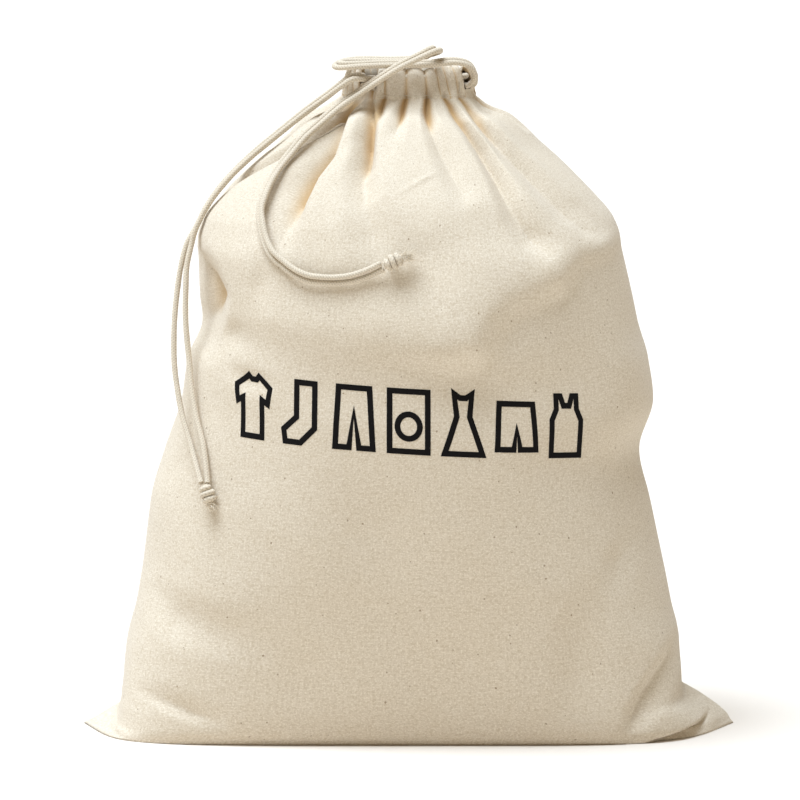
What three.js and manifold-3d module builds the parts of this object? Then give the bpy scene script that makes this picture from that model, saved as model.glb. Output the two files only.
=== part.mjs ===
// A drawstring laundry bag of calico, filled and standing on its base, with its mouth drawn in.
// Two flat panels are sewn together at the sides and the bottom. Their top edges are folded into
// casings, and two cords run round both casings and leave on opposite sides as pairs, each
// knotted at its end. Millimetres, +Z up, the front faces -Y, and the floor is z = 0.
import * as THREE from "three";
import { mergeVertices } from "three/addons/utils/BufferGeometryUtils.js";
import Module from "manifold-3d";

const wasm = await Module();
wasm.setup();

// Driving dimensions.
const CLOTH = 2; // thickness of a panel's plain shell
const GAP = 0.3; // between pieces that touch
const SIDES = 40; // of one horizontal section
const CASING_FOOT = 557;
const CASING_HEAD = 584;
const NECK = { x: 58, y: 30 }; // outer half-axes of the casings
const CASING_DEPTH = 8; // from the outer face to the inner face
const CASING_WALL = 1;
const CASING_RIM = 3; // solid cloth above and below the tunnel of a casing
const TUNNEL_OVERRUN = 5; // degrees that the cutting shape of a tunnel runs past its ends
const ARC_STEP = 9; // degrees between the points of a curve round the neck
const CORD = 5; // diameter
const CORD_SIDES = 10;
const CORD_STEP = 12;
const NECK_STEP = 5; // of a cord or thread that follows the neck
const PAIR = 2.9; // from the middle of a pair of cords to either one
const LEFT_EXIT = { from: -140, to: -120 }; // degrees round the neck, 0 at +X, -90 at the front
const RIGHT_EXIT = { from: -30, to: 0 };
const FRONT_ARC = [LEFT_EXIT.to, RIGHT_EXIT.from];
const BACK_ARC = [RIGHT_EXIT.to, LEFT_EXIT.from + 360];
const LEFT_CORD_LEVEL = 575;
const RIGHT_CORD_LEVEL = 566.5;
const SEAM = { width: 10, thickness: 1.6, headroom: 8 };
const THREAD = 0.9;
const THREAD_SIDES = 6;
const STITCH_RISE = 2; // of the stitch line above the casing's foot
const BAR_TACK = { width: 3, thickness: 1.4, height: 9, rise: 10, aside: 6 };
const KNOT = { radius: 7.2, length: 19, rows: 8, sides: 14 };
const HINGE_GAP = 6; // left open in a cord where its lower part turns
const EAR_TAPER = 3; // the ears are thin, so inside them the cloth takes this many times as much
const MERGE_WITHIN = 1e-4;
const HALF_SPACE = 1400; // side of a cutting box that is larger than the bag

// The filled bag's profile from the floor up: the reach of the body to the left, to the right and
// to the front and back, how far the flat ears stand out past it, and how square the section is.
const PROFILE = [
  { z: 0, left: 252, right: 236, depth: 118, leftEar: 35, rightEar: 51, square: 6 },
  { z: 4, left: 253, right: 237, depth: 121, leftEar: 24, rightEar: 47, square: 5.5 },
  { z: 10, left: 254, right: 239, depth: 125, leftEar: 4, rightEar: 41, square: 5 },
  { z: 22, left: 254, right: 240, depth: 128, leftEar: 0, rightEar: 24, square: 4.4 },
  { z: 32, left: 253, right: 241, depth: 130, leftEar: 0, rightEar: 0, square: 4 },
  { z: 72, left: 249, right: 240, depth: 136, leftEar: 0, rightEar: 0, square: 3.2 },
  { z: 112, left: 240, right: 231, depth: 143, leftEar: 0, rightEar: 0, square: 2.8 },
  { z: 147, left: 233, right: 224, depth: 150, leftEar: 0, rightEar: 0, square: 2.5 },
  { z: 204, left: 226, right: 211, depth: 156, leftEar: 0, rightEar: 0, square: 2.2 },
  { z: 245, left: 214, right: 203, depth: 158, leftEar: 0, rightEar: 0, square: 2.1 },
  { z: 290, left: 200, right: 215, depth: 158, leftEar: 0, rightEar: 0, square: 2.1 },
  { z: 325, left: 194, right: 211, depth: 157, leftEar: 0, rightEar: 0, square: 2.1 },
  { z: 356, left: 183, right: 202, depth: 155, leftEar: 0, rightEar: 0, square: 2.1 },
  { z: 380, left: 186, right: 197, depth: 152, leftEar: 0, rightEar: 0, square: 2.1 },
  { z: 420, left: 187, right: 188, depth: 145, leftEar: 0, rightEar: 0, square: 2.1 },
  { z: 449, left: 180, right: 180, depth: 137, leftEar: 0, rightEar: 0, square: 2 },
  { z: 471, left: 163, right: 163, depth: 127, leftEar: 0, rightEar: 0, square: 2 },
  { z: 495, left: 139, right: 139, depth: 107, leftEar: 0, rightEar: 0, square: 2 },
  { z: 516, left: 115, right: 115, depth: 86, leftEar: 0, rightEar: 0, square: 2 },
  { z: 541, left: 89, right: 89, depth: 58, leftEar: 0, rightEar: 0, square: 2 },
  { z: CASING_FOOT - GAP, left: 61, right: 61, depth: 33, leftEar: 0, rightEar: 0, square: 2 },
];

// Cord routes, as the middle of a pair or as one cord's own line, from the mouth to the knot.
const LEFT_PAIR = [
  [-49, -33, 577],
  [-59, -31.5, 570.5],
  [-71, -26, 560.8],
  [-90, -19, 546],
  [-113, -14.5, 527],
  [-141, -11, 503],
  [-160, -13, 484],
  [-176, -16, 463],
  [-187, -21, 442],
];
const LEFT_FRONT_HANGING = [
  [-190, -26, 430],
  [-194, -32, 412],
  [-195, -38, 394],
  [-195, -46, 364],
  [-192, -55, 332],
  [-190, -64, 311],
  [-185, -78, 283],
  [-179, -92, 261],
  [-175.4, -106, 234],
  [-175.2, -108.5, 230],
];
const LEFT_REAR_HANGING = [
  [-194, -22, 430],
  [-199, -27, 412],
  [-202, -31, 394],
  [-205, -40, 363],
  [-205, -50, 328],
  [-202, -58, 305],
  [-198, -67, 285],
  [-190, -83, 260],
  [-182, -104, 234],
  [-180.7, -107.5, 230],
];
const RIGHT_PAIR = [
  [58, -13, 577],
  [53, -16, 586],
  [41, -20, 590],
  [20, -24, 588.5],
  [-8, -25, 588.2],
  [-24, -27.5, 588.2],
  [-38, -31, 588],
  [-49.5, -32.3, 587.6],
  [-55.9, -30.6, 587.2],
  [-60.6, -25.9, 587],
  [-62.3, -19.5, 587.2],
  [-60.6, -13.1, 587.8],
  [-55.9, -8.4, 588.6],
  [-49.5, -6.7, 589.4],
  [-38, -8.5, 590],
  [-22, -11, 590],
  [-8, -11, 590],
  [3, -10.2, 590.8],
  [12, -10.2, 592.5],
  [18.4, -11.9, 594.5],
  [23.1, -16.6, 597.5],
  [24.8, -23, 600.3],
  [23.1, -29.4, 601.5],
  [18.4, -34.1, 600.5],
  [12, -36.3, 597.5],
  [2, -37.3, 592.7],
  [-8, -37, 587.5],
  [-23, -36, 578],
];
const RIGHT_HANGING_PAIR = [
  [-42, -34, 565],
  [-60, -37, 553],
  [-76, -43, 540],
  [-91, -48, 527],
  [-104, -55, 512],
  [-114, -64, 500],
  [-121, -73, 489],
  [-126, -82, 478],
  [-129, -90, 467],
  [-128, -98, 457],
  [-124, -109, 442],
  [-118, -118, 432],
  [-109, -125, 425],
  [-98, -133, 418],
  [-87, -138, 414],
  [-75, -142, 413],
  [-63, -145, 413],
  [-50, -148, 415],
  [-37, -149, 419],
  [-23, -151, 426],
];
const LEFT_LEADS = {
  front: [
    [-30, -21.5, LEFT_CORD_LEVEL],
    [-33.6, -23.9, 575.5],
    [-39, -30.5, 575.4],
  ],
  rear: [
    [-40.4, -17, LEFT_CORD_LEVEL],
    [-39.6, -19.7, 576.3],
    [-41.2, -25, 578],
  ],
};
const RIGHT_LEADS = {
  front: [
    [49.4, -10.4, RIGHT_CORD_LEVEL],
    [53.5, -10.2, 568.5],
  ],
  rear: [
    [54, -2.4, RIGHT_CORD_LEVEL],
    [57.5, -5, 568.5],
  ],
};
const LEFT_KNOT = { centre: [-175, -112, 220.5], towards: [0.3, -0.3, -1] };
const RIGHT_KNOT = { centre: [-13, -151, 430], towards: [1, 0, 0.4] };
const STRANDS = { front: -1, rear: 1 }; // the side of the pair's middle that each cord takes
const FACING = new THREE.Vector3(0, 10, 480); // a pair lies flat as seen from this inner point

const CALICO = { color: 0xe9dfc8, roughness: 0.95, metalness: 0 };
const TAPE = { color: 0xe4d9c0, roughness: 0.95, metalness: 0 };
const COTTON_CORD = { color: 0xe6ddcb, roughness: 0.9, metalness: 0 };
const SEWING_THREAD = { color: 0xf1ead9, roughness: 0.8, metalness: 0 };

const bag = new THREE.Group();

function addPiece(name, geometry, look) {
  const piece = new THREE.Mesh(geometry, new THREE.MeshStandardMaterial(look));
  piece.name = name;
  bag.add(piece);
  return piece;
}

function toSolid(geometry) {
  const bare = geometry.clone();
  bare.deleteAttribute("normal");
  bare.deleteAttribute("uv");
  const merged = mergeVertices(bare, MERGE_WITHIN);
  const vertProperties = merged.attributes.position.array;
  const triVerts = new Uint32Array(merged.index.array);
  return new wasm.Manifold(new wasm.Mesh({ numProp: 3, vertProperties, triVerts }));
}

function toGeometry(solid) {
  const mesh = solid.getMesh();
  const geometry = new THREE.BufferGeometry();
  geometry.setAttribute("position", new THREE.BufferAttribute(mesh.vertProperties, 3));
  geometry.setIndex(new THREE.BufferAttribute(mesh.triVerts, 1));
  geometry.computeVertexNormals();
  return geometry;
}

function signedPower(value, power) {
  return Math.sign(value) * Math.abs(value) ** power;
}

// One horizontal section: a squared ellipse whose two ends run out into the ears.
function section(row, inset) {
  const points = [];
  for (let i = 0; i < SIDES; i += 1) {
    const angle = (i / SIDES) * 2 * Math.PI;
    const across = signedPower(Math.cos(angle), 2 / row.square);
    const along = signedPower(Math.sin(angle), 2 / row.square);
    const onLeft = Math.cos(angle) < 0;
    const body = (onLeft ? row.left : row.right) - inset;
    const ear = Math.max((onLeft ? row.leftEar : row.rightEar) - EAR_TAPER * inset, 0);
    const reach = across * (body + ear * (1 - Math.abs(along)));
    points.push([reach, along * (row.depth - inset), row.z]);
  }
  return points;
}

// A closed solid through a stack of sections, with flat ends.
function loft(rows, inset) {
  const positions = rows.flatMap((row) => section(row, inset)).flat();
  const floor = rows[0];
  const top = rows[rows.length - 1];
  positions.push(0, 0, floor.z, 0, 0, top.z);
  const floorCentre = rows.length * SIDES;
  const index = [];
  for (let i = 0; i < SIDES; i += 1) {
    const next = (i + 1) % SIDES;
    for (let level = 0; level < rows.length - 1; level += 1) {
      const here = level * SIDES;
      const above = here + SIDES;
      index.push(here + i, here + next, above + next);
      index.push(here + i, above + next, above + i);
    }
    const last = (rows.length - 1) * SIDES;
    index.push(floorCentre, next, i);
    index.push(floorCentre + 1, last + i, last + next);
  }
  const geometry = new THREE.BufferGeometry();
  geometry.setAttribute("position", new THREE.Float32BufferAttribute(positions, 3));
  geometry.setIndex(index);
  return geometry;
}

// The profile between two heights, with a row worked out at each end.
function profileBetween(low, high) {
  const rowAt = (z) => {
    const above = PROFILE.findIndex((row) => row.z >= z);
    const b = PROFILE[Math.max(above, 1)];
    const a = PROFILE[Math.max(above, 1) - 1];
    const t = (z - a.z) / (b.z - a.z);
    const mixed = Object.keys(a).map((key) => [key, a[key] + (b[key] - a[key]) * t]);
    return Object.fromEntries(mixed);
  };
  const inside = PROFILE.filter((row) => row.z > low && row.z < high);
  return [rowAt(low), ...inside, rowAt(high)];
}

// Both panels are halves of one hollow shell that is open at the neck.
function makePanels() {
  const top = CASING_FOOT - GAP;
  const outside = toSolid(loft(PROFILE, 0));
  const opening = profileBetween(CLOTH, top);
  opening.push({ ...opening[opening.length - 1], z: top + CLOTH });
  const shell = outside.subtract(toSolid(loft(opening, CLOTH)));
  const box = new THREE.BoxGeometry(HALF_SPACE, HALF_SPACE, HALF_SPACE);
  const front = toSolid(box.clone().translate(0, -(HALF_SPACE + GAP) / 2, 0));
  const back = toSolid(box.translate(0, (HALF_SPACE + GAP) / 2, 0));
  addPiece("front_panel", toGeometry(shell.intersect(front)), CALICO);
  addPiece("back_panel", toGeometry(shell.intersect(back)), CALICO);
}

// A flat band in the XZ plane, as thick as the folded seam allowances.
function seamBand(outline) {
  const shape = new THREE.Shape(outline.map(([x, z]) => new THREE.Vector2(x, z)));
  const band = new THREE.ExtrudeGeometry(shape, { depth: SEAM.thickness, bevelEnabled: false });
  return band.rotateX(Math.PI / 2).translate(0, SEAM.thickness / 2, 0);
}

// The seam allowances turned in along both sides and the bottom.
function makeSeams() {
  const clear = CLOTH + 2 * GAP;
  const foot = clear + SEAM.width;
  const rows = profileBetween(foot + GAP, CASING_FOOT - SEAM.headroom);
  for (const [name, side, reach] of [
    ["left_side_seam", -1, "left"],
    ["right_side_seam", 1, "right"],
  ]) {
    const outer = rows.map((row) => [side * (row[reach] - clear), row.z]);
    const inner = rows.map((row) => [side * (row[reach] - clear - SEAM.width), row.z]);
    addPiece(name, seamBand([...outer, ...inner.reverse()]), TAPE);
  }
  const left = -(PROFILE[1].left - clear - SEAM.width);
  const right = PROFILE[1].right - clear - SEAM.width;
  const outline = [
    [left, clear],
    [right, clear],
    [right, foot],
    [left, foot],
  ];
  addPiece("bottom_seam", seamBand(outline), TAPE);
}

// The outward direction of the neck's outline at a point on it.
function neckNormal(point) {
  return new THREE.Vector2(point.x / NECK.x ** 2, point.y / NECK.y ** 2).normalize();
}

// A point at an angle round the neck, moved in from its outline.
function neckPoint(degrees, inset) {
  const angle = THREE.MathUtils.degToRad(degrees);
  const point = new THREE.Vector2(NECK.x * Math.cos(angle), NECK.y * Math.sin(angle));
  return point.addScaledVector(neckNormal(point), -inset);
}

// Evenly spread angles from one end of an arc to the other.
function arcAngles([from, to]) {
  const steps = Math.ceil((to - from) / ARC_STEP);
  return Array.from({ length: steps + 1 }, (_, i) => from + ((to - from) * i) / steps);
}

// Part of a ring round the neck, between two insets and two heights.
function neckBand(arc, outer, inner, low, high) {
  const angles = arcAngles(arc);
  const outside = angles.map((degrees) => neckPoint(degrees, outer));
  const inside = angles.map((degrees) => neckPoint(degrees, inner)).reverse();
  const shape = new THREE.Shape([...outside, ...inside]);
  const band = new THREE.ExtrudeGeometry(shape, { depth: high - low, bevelEnabled: false });
  return band.translate(0, 0, low);
}

// A casing is a tunnel, open at both ends, that its cords run through.
function makeCasing(name, arc) {
  const past = [arc[0] - TUNNEL_OVERRUN, arc[1] + TUNNEL_OVERRUN];
  const wall = toSolid(neckBand(arc, 0, CASING_DEPTH, CASING_FOOT, CASING_HEAD));
  const low = CASING_FOOT + CASING_RIM;
  const high = CASING_HEAD - CASING_RIM;
  const tunnel = neckBand(past, CASING_WALL, CASING_DEPTH - CASING_WALL, low, high);
  addPiece(name, toGeometry(wall.subtract(toSolid(tunnel))), CALICO);
}

function disc(radius, sides) {
  const shape = new THREE.Shape();
  for (let i = 0; i < sides; i += 1) {
    const angle = (i / sides) * 2 * Math.PI;
    shape[i ? "lineTo" : "moveTo"](radius * Math.cos(angle), radius * Math.sin(angle));
  }
  return shape;
}

function tube(points, radius, sides, step) {
  const path = new THREE.CatmullRomCurve3(points, false, "centripetal");
  const steps = Math.max(2, Math.round(path.getLength() / step));
  const options = { steps, bevelEnabled: false, extrudePath: path };
  return new THREE.ExtrudeGeometry(disc(radius, sides), options);
}

function cordTube(points, step = CORD_STEP) {
  return tube(points, CORD / 2, CORD_SIDES, step);
}

// A cord or a thread that follows the neck at one height.
function aroundNeck(arc, inset, z) {
  return arcAngles(arc).map((degrees) => {
    const { x, y } = neckPoint(degrees, inset);
    return new THREE.Vector3(x, y, z);
  });
}

function makeCasings() {
  for (const [side, arc] of [
    ["front", FRONT_ARC],
    ["back", BACK_ARC],
  ]) {
    makeCasing(`${side}_casing`, arc);
    const middle = CASING_DEPTH / 2;
    const leftRun = aroundNeck(arc, middle, LEFT_CORD_LEVEL);
    const rightRun = aroundNeck(arc, middle, RIGHT_CORD_LEVEL);
    addPiece(`left_cord_${side}_run`, cordTube(leftRun, NECK_STEP), COTTON_CORD);
    addPiece(`right_cord_${side}_run`, cordTube(rightRun, NECK_STEP), COTTON_CORD);
    const stitch = aroundNeck(arc, -(THREAD / 2 + GAP), CASING_FOOT + STITCH_RISE);
    const thread = tube(stitch, THREAD / 2, THREAD_SIDES, NECK_STEP);
    addPiece(`${side}_casing_stitch`, thread, SEWING_THREAD);
  }
}

// A dense bar of stitches on the casing's foot beside an exit.
function makeBarTack(name, degrees) {
  const { width, thickness, height, rise } = BAR_TACK;
  const { x, y } = neckPoint(degrees, -(thickness / 2 + 2 * GAP));
  const tack = addPiece(name, new THREE.BoxGeometry(width, thickness, height), SEWING_THREAD);
  tack.position.set(x, y, CASING_FOOT + rise);
  tack.rotation.z = neckNormal(neckPoint(degrees, 0)).angle() + Math.PI / 2;
}

const toVectors = (list) => list.map(([x, y, z]) => new THREE.Vector3(x, y, z));

// One cord of a pair, moved sideways from the pair's middle line so that both lie on the cloth.
function besidePair(list, side) {
  const route = toVectors(list);
  return route.map((point, i) => {
    const ahead = route[Math.min(i + 1, route.length - 1)];
    const behind = route[Math.max(i - 1, 0)];
    const along = ahead.clone().sub(behind);
    const out = point.clone().sub(FACING);
    const sideways = along.cross(out).normalize();
    return point.clone().addScaledVector(sideways, side * PAIR);
  });
}

// Splits a cord at one of its points, leaving a gap that its lower part can turn in.
function splitAt(points, place) {
  const upper = points.slice(0, place + 1);
  const lower = points.slice(place);
  const trim = (end, next) => {
    const back = next.clone().sub(end).setLength(HINGE_GAP / 2);
    return end.clone().add(back);
  };
  upper[place] = trim(points[place], points[place - 1]);
  lower[0] = trim(points[place], points[place + 1]);
  return { upper, lower };
}

function addCord(name, points, place) {
  const { upper, lower } = splitAt(points, place);
  addPiece(`${name}_upper`, cordTube(upper), COTTON_CORD);
  addPiece(`${name}_lower`, cordTube(lower), COTTON_CORD);
}

// A round, slightly long knot whose axis runs from the cords' ends towards its tuft.
function addKnot(name, { centre, towards }) {
  const { radius, length, rows, sides } = KNOT;
  const profile = [new THREE.Vector2(0, -length / 2)];
  for (let i = 1; i < rows; i += 1) {
    const angle = -Math.PI / 2 + (i / rows) * Math.PI;
    profile.push(new THREE.Vector2(radius * Math.cos(angle), (length / 2) * Math.sin(angle)));
  }
  profile.push(new THREE.Vector2(0, length / 2));
  const knot = addPiece(name, new THREE.LatheGeometry(profile, sides), COTTON_CORD);
  const axis = new THREE.Vector3(...towards).normalize();
  knot.quaternion.setFromUnitVectors(new THREE.Vector3(0, 1, 0), axis);
  knot.position.set(...centre);
}

// The left cords part below the hinge, so each has its own hanging line.
function makeLeftPull() {
  const hanging = { front: LEFT_FRONT_HANGING, rear: LEFT_REAR_HANGING };
  for (const [name, side] of Object.entries(STRANDS)) {
    const upper = [...toVectors(LEFT_LEADS[name]), ...besidePair(LEFT_PAIR, side)];
    addCord(`left_pull_${name}`, [...upper, ...toVectors(hanging[name])], upper.length);
  }
  addKnot("left_knot", LEFT_KNOT);
}

function makeRightPull() {
  for (const [name, side] of Object.entries(STRANDS)) {
    const pair = besidePair([...RIGHT_PAIR, ...RIGHT_HANGING_PAIR], side);
    const leads = toVectors(RIGHT_LEADS[name]);
    addCord(`right_pull_${name}`, [...leads, ...pair], leads.length + RIGHT_PAIR.length);
  }
  addKnot("right_knot", RIGHT_KNOT);
}

makePanels();
makeSeams();
makeCasings();
makeBarTack("left_bar_tack", LEFT_EXIT.to + BAR_TACK.aside);
makeBarTack("right_bar_tack", RIGHT_EXIT.from - BAR_TACK.aside);
makeLeftPull();
makeRightPull();

export default bag;
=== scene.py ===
"""The looks of a calico drawstring laundry bag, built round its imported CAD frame, in metres.

The front faces -Y, +Z is up, and the floor is z = 0. Each panel is one sheet of cloth that is
gathered into the neck. A point of the cloth is given by its column, the share of the way round
from the left seam over the front, the right seam and the back, and by its height.
"""

import math

import bpy
import numpy as np
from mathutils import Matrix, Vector
from mathutils.kdtree import KDTree


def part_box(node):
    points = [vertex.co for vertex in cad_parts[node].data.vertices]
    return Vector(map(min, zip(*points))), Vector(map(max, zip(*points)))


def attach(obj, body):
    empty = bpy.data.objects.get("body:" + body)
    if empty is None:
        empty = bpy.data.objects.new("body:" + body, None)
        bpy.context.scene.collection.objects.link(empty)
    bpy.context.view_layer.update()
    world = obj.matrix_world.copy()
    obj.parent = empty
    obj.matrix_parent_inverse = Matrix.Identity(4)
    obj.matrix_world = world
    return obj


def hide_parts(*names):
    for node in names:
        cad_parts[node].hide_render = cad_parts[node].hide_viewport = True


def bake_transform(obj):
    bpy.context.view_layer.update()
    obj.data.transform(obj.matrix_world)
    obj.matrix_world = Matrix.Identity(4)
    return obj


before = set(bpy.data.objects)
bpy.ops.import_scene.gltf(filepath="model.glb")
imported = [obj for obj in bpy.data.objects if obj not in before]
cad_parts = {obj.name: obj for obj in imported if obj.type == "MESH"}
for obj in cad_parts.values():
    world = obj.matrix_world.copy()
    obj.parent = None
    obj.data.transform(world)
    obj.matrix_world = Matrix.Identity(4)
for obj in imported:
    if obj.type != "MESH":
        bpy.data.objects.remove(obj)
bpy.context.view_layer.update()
MM = 0.001

# Heights and sizes from the frame.
CASING_LOW, CASING_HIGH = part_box("front_casing")
CASING_FOOT = CASING_LOW.z
CASING_HEAD = CASING_HIGH.z
NECK_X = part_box("back_casing")[1].x
NECK_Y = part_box("back_casing")[1].y
NECK_SQUARES = np.array((NECK_X**2, NECK_Y**2))  # a point on the neck, over these, is its normal

# The cloth.
FLAT_WIDTH = 0.6
PANEL_COLUMNS = 240
FLOOR_ROWS = 24
LIP_ROWS = 8  # above the wall, inside the casings
FLOOR_GAP = 0.0004  # of the underside above the floor
STEPS_PER_DEGREE = 4  # in the outline of a section
HALF_STEPS = 1200  # in half of it, before it is spread evenly
LEFT_EXIT = (-140, -120)  # degrees round the neck, 0 at +X, -90 at the front
RIGHT_EXIT = (-30, 0)
EXIT_FADE = 6  # degrees past an exit's ends
BACK_ARC = (RIGHT_EXIT[1], LEFT_EXIT[0] + 360)
SEAM_AT_NECK = {"left": 230, "right": 345}  # degrees, where the side seams reach the casings
SEAM_TURNS_FROM = 0.45  # the height where the seams start to turn towards those places

# The filled bag's profile in millimetres: height, reach to the left, right and front, how far the
# flat ears stand out past it on the left and right. The last value is how square the section is.
PROFILE = np.array([
    (0, 252, 236, 118, 35, 51, 6.0),
    (4, 253, 237, 121, 24, 47, 5.5),
    (10, 254, 239, 125, 4, 41, 5.0),
    (22, 254, 240, 128, 0, 24, 4.4),
    (32, 253, 241, 130, 0, 0, 4.0),
    (72, 249, 240, 136, 0, 0, 3.2),
    (112, 240, 231, 143, 0, 0, 2.8),
    (147, 233, 224, 150, 0, 0, 2.5),
    (204, 226, 211, 156, 0, 0, 2.2),
    (245, 214, 203, 158, 0, 0, 2.1),
    (290, 200, 215, 158, 0, 0, 2.1),
    (325, 194, 211, 157, 0, 0, 2.1),
    (356, 183, 202, 155, 0, 0, 2.1),
    (380, 186, 197, 152, 0, 0, 2.1),
    (420, 187, 188, 145, 0, 0, 2.1),
    (449, 180, 180, 137, 0, 0, 2.0),
    (471, 163, 163, 127, 0, 0, 2.0),
    (495, 139, 139, 107, 0, 0, 2.0),
    (516, 115, 115, 86, 0, 0, 2.0),
    (541, 89, 89, 58, 0, 0, 2.0),
    (549, 72.5, 72.5, 41.5, 0, 0, 2.0),
    (557, 60, 60, 32, 0, 0, 2.0),
])
PROFILE[:, :6] *= MM

# Cord routes from the mouth to the knot, as the middle of a pair or as one cord's own line.
CORD = 0.005
PAIR = 0.0029
FACING = np.array((0, 0.01, 0.48))  # the pairs lie flat against the cloth round this point
LEFT_LEVEL = 0.575
RIGHT_LEVEL = 0.5665
RUN_INSET = 0.0070
RUN_POINTS = 40
NECK_LEAN = 0.0115  # inwards at the rim, where it is most
LEAN_LEAST = 0.001
LEAN_MIDDLE = -75  # degrees round the neck
LEAN_FADE = 25  # degrees in from the exits
LEFT_LEADS = {
    "front": [(-0.03, -0.0215, LEFT_LEVEL), (-0.0336, -0.0239, 0.5755), (-0.039, -0.0305, 0.5754)],
    "rear": [(-0.0404, -0.017, LEFT_LEVEL), (-0.0396, -0.0197, 0.5763), (-0.0412, -0.025, 0.578)],
}
LEFT_PAIR = [
    (-0.049, -0.033, 0.577), (-0.059, -0.0315, 0.5705), (-0.071, -0.026, 0.5608),
    (-0.09, -0.019, 0.546), (-0.113, -0.0145, 0.527), (-0.141, -0.011, 0.503),
    (-0.16, -0.013, 0.484), (-0.176, -0.016, 0.463), (-0.187, -0.021, 0.442),
]
LEFT_HANGING = {
    "front": [
        (-0.19, -0.026, 0.43), (-0.194, -0.032, 0.412), (-0.195, -0.038, 0.394),
        (-0.195, -0.046, 0.364), (-0.192, -0.055, 0.332), (-0.19, -0.064, 0.311),
        (-0.185, -0.078, 0.283), (-0.179, -0.092, 0.261), (-0.1754, -0.106, 0.234),
        (-0.1752, -0.1085, 0.23),
    ],
    "rear": [
        (-0.194, -0.022, 0.43), (-0.199, -0.027, 0.412), (-0.202, -0.031, 0.394),
        (-0.205, -0.04, 0.363), (-0.205, -0.05, 0.328), (-0.202, -0.058, 0.305),
        (-0.198, -0.067, 0.285), (-0.19, -0.083, 0.26), (-0.182, -0.104, 0.234),
        (-0.1807, -0.1075, 0.23),
    ],
}
RIGHT_LEADS = {
    "front": [(0.0494, -0.0104, RIGHT_LEVEL), (0.0535, -0.0102, 0.5685)],
    "rear": [(0.054, -0.0024, RIGHT_LEVEL), (0.0575, -0.005, 0.5685)],
}
RIGHT_PAIR = [
    (0.058, -0.013, 0.577), (0.053, -0.016, 0.586), (0.041, -0.02, 0.59),
    (0.02, -0.024, 0.5885), (-0.008, -0.025, 0.5882), (-0.024, -0.0275, 0.5882),
    (-0.038, -0.031, 0.588), (-0.0495, -0.0323, 0.5876), (-0.0559, -0.0306, 0.5872),
    (-0.0606, -0.0259, 0.587), (-0.0623, -0.0195, 0.5872), (-0.0606, -0.0131, 0.5878),
    (-0.0559, -0.0084, 0.5886), (-0.0495, -0.0067, 0.5894), (-0.038, -0.0085, 0.59),
    (-0.022, -0.011, 0.59), (-0.008, -0.011, 0.59), (0.003, -0.0102, 0.5908),
    (0.012, -0.0102, 0.5925), (0.0184, -0.0119, 0.5945), (0.0231, -0.0166, 0.5975),
    (0.0248, -0.023, 0.6003), (0.0231, -0.0294, 0.6015), (0.0184, -0.0341, 0.6005),
    (0.012, -0.0363, 0.5975), (0.002, -0.0373, 0.5927), (-0.008, -0.037, 0.5875),
    (-0.023, -0.036, 0.578), (-0.042, -0.034, 0.565), (-0.06, -0.037, 0.553),
    (-0.076, -0.043, 0.54), (-0.091, -0.048, 0.527), (-0.104, -0.055, 0.512),
    (-0.114, -0.064, 0.5), (-0.121, -0.073, 0.489), (-0.126, -0.082, 0.478),
    (-0.129, -0.09, 0.467), (-0.128, -0.098, 0.457), (-0.124, -0.109, 0.442),
    (-0.118, -0.118, 0.432), (-0.109, -0.125, 0.425), (-0.098, -0.133, 0.418),
    (-0.087, -0.138, 0.414), (-0.075, -0.142, 0.413), (-0.063, -0.145, 0.413),
    (-0.05, -0.148, 0.415), (-0.037, -0.149, 0.419), (-0.023, -0.151, 0.426),
]
STRANDS = {"front": -1, "rear": 1}  # the side of the pair's middle that each cord takes


# ---------------- small helpers

CURVE_STEPS = 24  # between two points of a curve, before it is spread evenly


def unit(vectors):
    return vectors / np.maximum(np.linalg.norm(vectors, axis=-1, keepdims=True), 1e-12)


def smoothstep(low, high, value):
    t = np.clip((value - low) / (high - low), 0, 1)
    return t * t * (3 - 2 * t)


def run_along(line):
    """How far along a line each of its points is."""
    return np.concatenate([[0], np.cumsum(np.linalg.norm(np.diff(line, axis=0), axis=1))])


def resampled(line, step):
    """The line's points spread evenly along it, about one every step."""
    run = run_along(line)
    places = np.linspace(0, run[-1], max(2, round(run[-1] / step) + 1))
    return np.stack([np.interp(places, run, line[:, k]) for k in range(3)], axis=1)


def hermite(t, start, end, leave, arrive):
    """A cubic at the shares t of the way from start to end, with the slopes it leaves and arrives by."""
    stay = start * (2 * t**3 - 3 * t**2 + 1) + end * (3 * t**2 - 2 * t**3)
    return stay + leave * (t**3 - 2 * t**2 + t) + arrive * (t**3 - t**2)


def centripetal(points, step):
    """A centripetal Catmull-Rom curve through the points, sampled every step."""
    points = np.array(points, float)
    ends = [2 * points[0] - points[1], 2 * points[-1] - points[-2]]
    p = np.vstack([ends[0], points, ends[1]])
    gap = np.sqrt(np.linalg.norm(np.diff(p, axis=0), axis=1))
    t = np.linspace(0, 1, CURVE_STEPS, endpoint=False)[:, None]
    dense = []
    for i in range(len(points) - 1):
        a, b, c, d = p[i : i + 4]
        before, here, after = gap[i : i + 3]
        leave = ((b - a) / before - (c - a) / (before + here) + (c - b) / here) * here
        arrive = ((c - b) / here - (d - b) / (here + after) + (d - c) / after) * here
        dense.append(hermite(t, b, c, leave, arrive))
    dense.append(points[-1:])
    return resampled(np.vstack(dense), step)


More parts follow.
